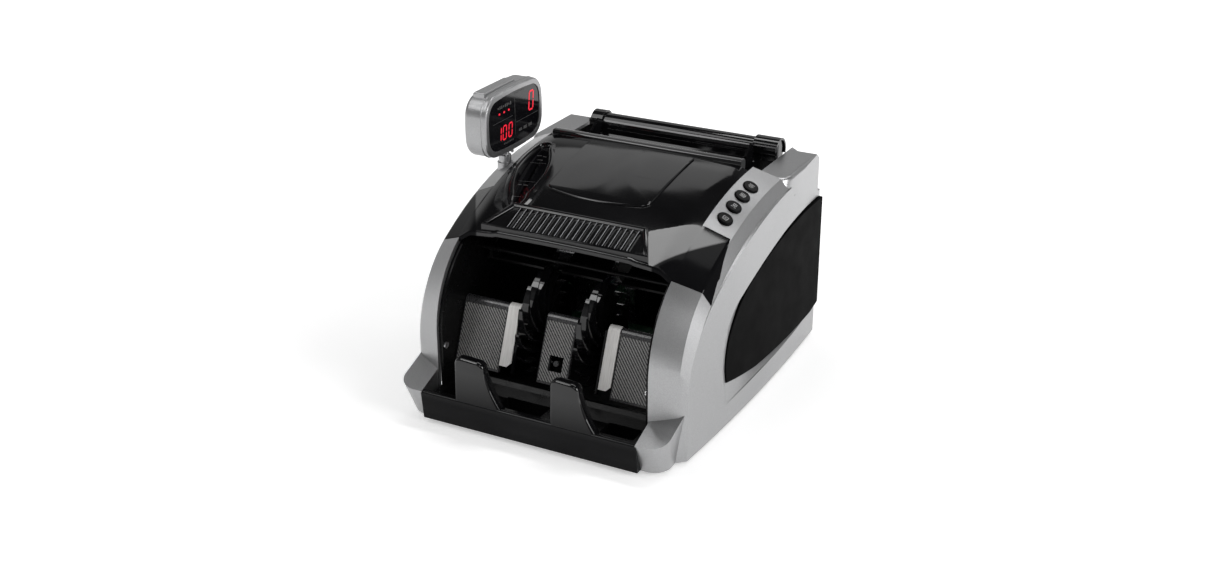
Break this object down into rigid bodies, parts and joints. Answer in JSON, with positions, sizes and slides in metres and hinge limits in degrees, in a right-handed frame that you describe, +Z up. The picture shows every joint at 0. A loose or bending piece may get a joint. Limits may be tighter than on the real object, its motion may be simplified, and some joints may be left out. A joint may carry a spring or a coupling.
{
  "type": "banknote counting machine",
  "caption": "Desktop banknote counter: silver side shells, black crowned cover with grille and keys, open front stacker bay with vaned wheels, rear feed hopper and external display.",
  "frame": {"origin": "centre of the machine's bounding box in plan, on the surface that the rubber feet stand on", "axes": "+X to the operator's right, +Y from the front lip to the rear cover, +Z up"},
  "size_m": [0.24, 0.294, 0.2332],
  "materials": {
    "silver_paint": "satin metallic silver paint on moulded plastic",
    "gloss_black": "gloss black moulded plastic",
    "satin_black": "satin black moulded plastic",
    "smoked_window": "smoked clear plastic, nearly black",
    "frame_steel": "black painted sheet steel",
    "bright_steel": "bright ground steel",
    "roller_rubber": "moulded rubber",
    "wear_strip": "pale low-friction plastic with thin steel rails",
    "board": "glass-fibre board with soldered parts"
  },
  "bodies": {
    "chassis": {"back_plate_centre": "satin_black", "back_plate_left": "satin_black", "back_plate_right": "satin_black", "base_pan": "frame_steel", "bay_floor": "satin_black", "circuit_boards": "board", "display_bezel": "gloss_black", "display_window": "smoked_window", "feet": "roller_rubber", "frame_brackets": "frame_steel", "frame_screws": "bright_steel", "front_lip": "gloss_black", "grille": "gloss_black", "hopper_floor": "satin_black", "lid_panel": "gloss_black", "main_belt": "roller_rubber", "main_motor": "bright_steel", "pickup_belt": "roller_rubber", "power_inlet": "satin_black", "rear_cover": "satin_black", "separator_roller": "roller_rubber", "shaft_bearings": "bright_steel", "side_frame_left": "frame_steel", "side_frame_right": "frame_steel", "side_panel_left": "satin_black", "side_panel_right": "satin_black", "side_shell_left": "silver_paint", "side_shell_right": "silver_paint", "stacker_belt": "roller_rubber", "stacker_motor": "bright_steel", "top_cover": "gloss_black", "transformer": "bright_steel", "transport_belt": "roller_rubber", "upper_guide": "satin_black", "wear_strips": "wear_strip"},
    "feed": {"feed_shaft": "bright_steel", "feed_rollers": "roller_rubber"},
    "pickup": {"pickup_shaft": "bright_steel", "pickup_rollers": "roller_rubber"},
    "transport": {"transport_shaft": "bright_steel", "transport_rollers": "roller_rubber"},
    "idler": {"idler_rollers": "roller_rubber"},
    "stacker": {"stacker_shaft": "bright_steel", "stacker_wheel_left": "satin_black", "stacker_wheel_right": "satin_black"},
    "main_motor_rotor": {"main_motor_pulley": "satin_black"},
    "stacker_motor_rotor": {"stacker_motor_pulley": "satin_black"},
    "hopper_back": {"hopper_tray": "gloss_black"},
    "guide_left": {"note_guide_left": "satin_black"},
    "guide_right": {"note_guide_right": "satin_black"},
    "key_1": {"button_1": "satin_black"},
    "key_2": {"button_2": "satin_black"},
    "key_3": {"button_3": "satin_black"},
    "key_4": {"button_4": "satin_black"},
    "rocker": {"power_rocker": "satin_black"},
    "feed_gap_knob": {"gap_knob": "satin_black"},
    "display_stem": {"display_neck": "silver_paint"},
    "display_head": {"head_case": "silver_paint", "head_window": "smoked_window", "head_board": "board"}
  },
  "joints": [
    {"name": "feed_spin", "type": "hinge", "parent": "chassis", "child": "feed", "pos_m": [0, 0.038, 0.108], "axis": [1, 0, 0], "continuous": true},
    {"name": "pickup_spin", "type": "hinge", "parent": "chassis", "child": "pickup", "pos_m": [0, 0.0801, 0.1235], "axis": [1, 0, 0], "continuous": true},
    {"name": "transport_spin", "type": "hinge", "parent": "chassis", "child": "transport", "pos_m": [0, -0.008, 0.104], "axis": [1, 0, 0], "continuous": true},
    {"name": "idler_spin", "type": "hinge", "parent": "chassis", "child": "idler", "pos_m": [0, -0.008, 0.1264], "axis": [1, 0, 0], "continuous": true},
    {"name": "main_motor_spin", "type": "hinge", "parent": "chassis", "child": "main_motor_rotor", "pos_m": [0, 0.092, 0.046], "axis": [1, 0, 0], "continuous": true},
    {"name": "stacker_spin", "type": "hinge", "parent": "chassis", "child": "stacker", "pos_m": [0, -0.069, 0.07], "axis": [1, 0, 0], "continuous": true},
    {"name": "stacker_motor_spin", "type": "hinge", "parent": "chassis", "child": "stacker_motor_rotor", "pos_m": [0, -0.015, 0.033], "axis": [1, 0, 0], "continuous": true},
    {"name": "hopper_hinge", "type": "hinge", "parent": "chassis", "child": "hopper_back", "pos_m": [0, 0.1385, 0.139], "axis": [-1, 0, 0], "range_deg": [0, 40]},
    {"name": "guide_left_slide", "type": "slide", "parent": "hopper_back", "child": "guide_left", "axis": [1, 0, 0], "range_m": [0, 0.03]},
    {"name": "guide_right_slide", "type": "slide", "parent": "hopper_back", "child": "guide_right", "axis": [-1, 0, 0], "range_m": [0, 0.03]},
    {"name": "key_1_press", "type": "slide", "parent": "chassis", "child": "key_1", "axis": [-0.4565, 0.1075, -0.8832], "range_m": [0, 0.0008], "stiffness_N_per_m": 400, "springref_m": -0.0004},
    {"name": "key_2_press", "type": "slide", "parent": "chassis", "child": "key_2", "axis": [-0.4565, 0.1075, -0.8832], "range_m": [0, 0.0008], "stiffness_N_per_m": 400, "springref_m": -0.0004},
    {"name": "key_3_press", "type": "slide", "parent": "chassis", "child": "key_3", "axis": [-0.4565, 0.1075, -0.8832], "range_m": [0, 0.0008], "stiffness_N_per_m": 400, "springref_m": -0.0004},
    {"name": "key_4_press", "type": "slide", "parent": "chassis", "child": "key_4", "axis": [-0.4565, 0.1075, -0.8832], "range_m": [0, 0.0008], "stiffness_N_per_m": 400, "springref_m": -0.0004},
    {"name": "rocker_tip", "type": "hinge", "parent": "chassis", "child": "rocker", "pos_m": [0.046, 0.139, 0.03], "axis": [-1, 0, 0], "range_deg": [0, 16]},
    {"name": "gap_knob_turn", "type": "hinge", "parent": "chassis", "child": "feed_gap_knob", "pos_m": [0.04, 0.147, 0.105], "axis": [0, 1, 0], "range_deg": [-180, 180]},
    {"name": "display_swivel", "type": "hinge", "parent": "chassis", "child": "display_stem", "pos_m": [-0.1035, 0.003, 0.15], "axis": [0, 0, 1], "range_deg": [-90, 90]},
    {"name": "display_tilt", "type": "hinge", "parent": "display_stem", "child": "display_head", "pos_m": [-0.1035, 0.003, 0.177], "axis": [0, 1, 0], "range_deg": [-12, 12]}
  ],
  "couplings": [
    {"joint": "pickup_spin", "follows": "feed_spin", "ratio": 1},
    {"joint": "transport_spin", "follows": "feed_spin", "ratio": 1},
    {"joint": "idler_spin", "follows": "feed_spin", "ratio": -2.6667},
    {"joint": "main_motor_spin", "follows": "feed_spin", "ratio": 1.875},
    {"joint": "stacker_motor_spin", "follows": "stacker_spin", "ratio": 2}
  ]
}
